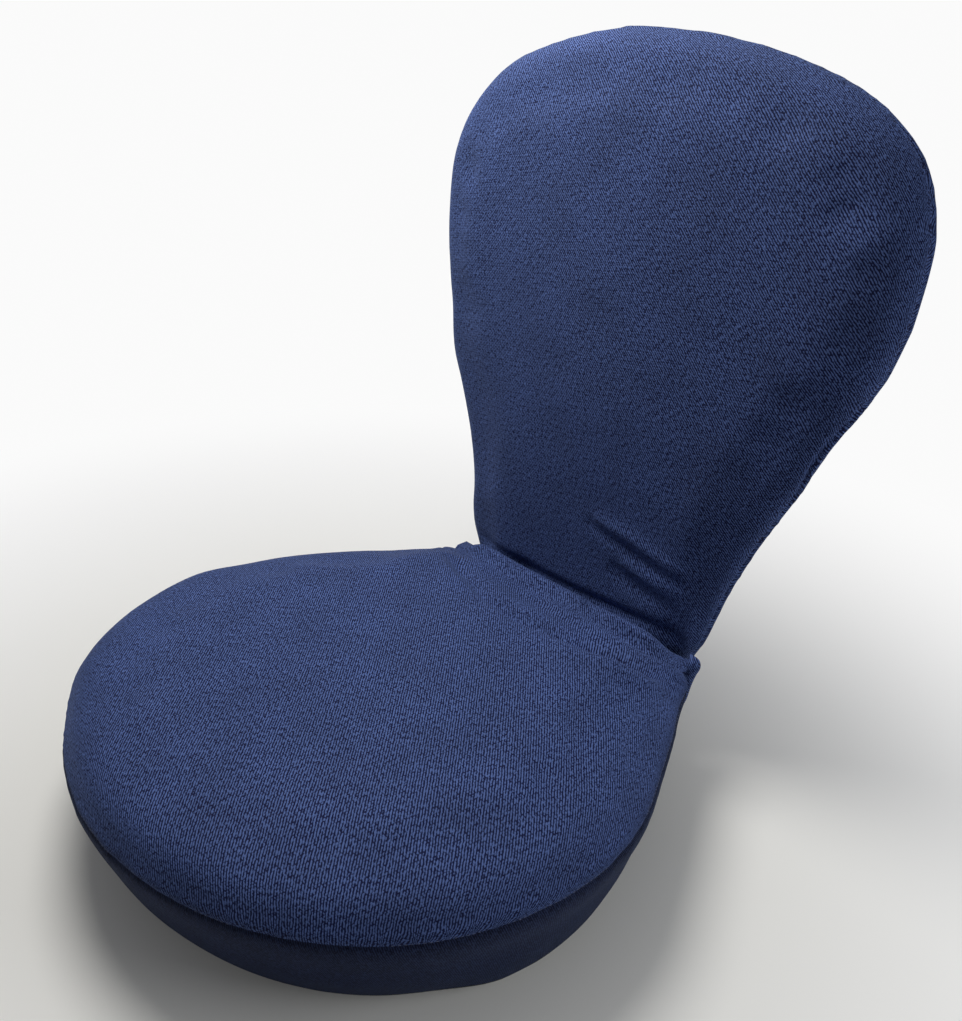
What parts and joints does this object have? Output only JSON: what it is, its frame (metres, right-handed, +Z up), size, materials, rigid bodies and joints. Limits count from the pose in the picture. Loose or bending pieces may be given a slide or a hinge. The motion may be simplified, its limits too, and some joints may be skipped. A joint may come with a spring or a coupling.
{
  "type": "legless folding floor chair",
  "caption": "Legless stretch chair: a round foam seat on the floor and a teardrop backrest that folds on ratchet hinges at the crease, in a knit cover.",
  "frame": {"origin": "on the floor, near the middle of the seat", "axes": "+Z up, -Y towards the front of the seat, +X towards the left of a person who sits in it"},
  "size_m": [0.444, 0.4999, 0.5226],
  "materials": {
    "cover_knit": "navy blue stretch knit with fine ribs and a light heather",
    "band_knit": "plainer navy blue knit",
    "underside_cloth": "black non-woven cloth",
    "firm_foam": "bonded chip foam",
    "soft_foam": "open-cell polyurethane foam",
    "frame_paint": "black paint on steel tube",
    "hinge_steel": "zinc plated pressed steel",
    "rivet_steel": "bright zinc plated steel"
  },
  "bodies": {
    "seat": {"seat_top_cover": "cover_knit", "seat_side_band": "band_knit", "seat_bottom_cover": "underside_cloth", "seat_base_foam": "firm_foam", "seat_top_foam": "soft_foam", "seat_frame_tube": "frame_paint", "seat_cross_bars": "frame_paint", "seat_tube_rivets": "rivet_steel", "left_gear_arm": "hinge_steel", "right_gear_arm": "hinge_steel"},
    "backrest": {"back_front_cover": "cover_knit", "back_rear_cover": "cover_knit", "back_front_foam": "soft_foam", "back_rear_foam": "soft_foam", "back_frame_tube": "frame_paint", "back_cross_bars": "frame_paint", "back_tube_rivets": "rivet_steel", "case_rivets": "rivet_steel", "left_case_inner": "hinge_steel", "left_case_outer": "hinge_steel", "left_spacer_tang": "hinge_steel", "left_pivot_rivet": "rivet_steel", "left_pawl_pin": "rivet_steel", "left_pawl_spring": "rivet_steel", "right_case_inner": "hinge_steel", "right_case_outer": "hinge_steel", "right_spacer_tang": "hinge_steel", "right_pivot_rivet": "rivet_steel", "right_pawl_pin": "rivet_steel", "right_pawl_spring": "rivet_steel"},
    "left_pawl": {"left_pawl": "hinge_steel"},
    "right_pawl": {"right_pawl": "hinge_steel"}
  },
  "joints": [
    {"name": "back_recline", "type": "hinge", "parent": "seat", "child": "backrest", "pos_m": [0, 0.209, 0.078], "axis": [1, 0, 0], "range_deg": [-82.5, 22.5]},
    {"name": "left_pawl_lift", "type": "hinge", "parent": "backrest", "child": "left_pawl", "pos_m": [0.098, 0.20311, 0.10051], "axis": [1, 0, 0], "range_deg": [0, 9], "stiffness_Nm_per_rad": 0.3, "springref_deg": -17.19, "deforming": ["left_pawl_spring"]},
    {"name": "right_pawl_lift", "type": "hinge", "parent": "backrest", "child": "right_pawl", "pos_m": [-0.098, 0.20311, 0.10051], "axis": [1, 0, 0], "range_deg": [0, 9], "stiffness_Nm_per_rad": 0.3, "springref_deg": -17.19, "deforming": ["right_pawl_spring"]}
  ]
}
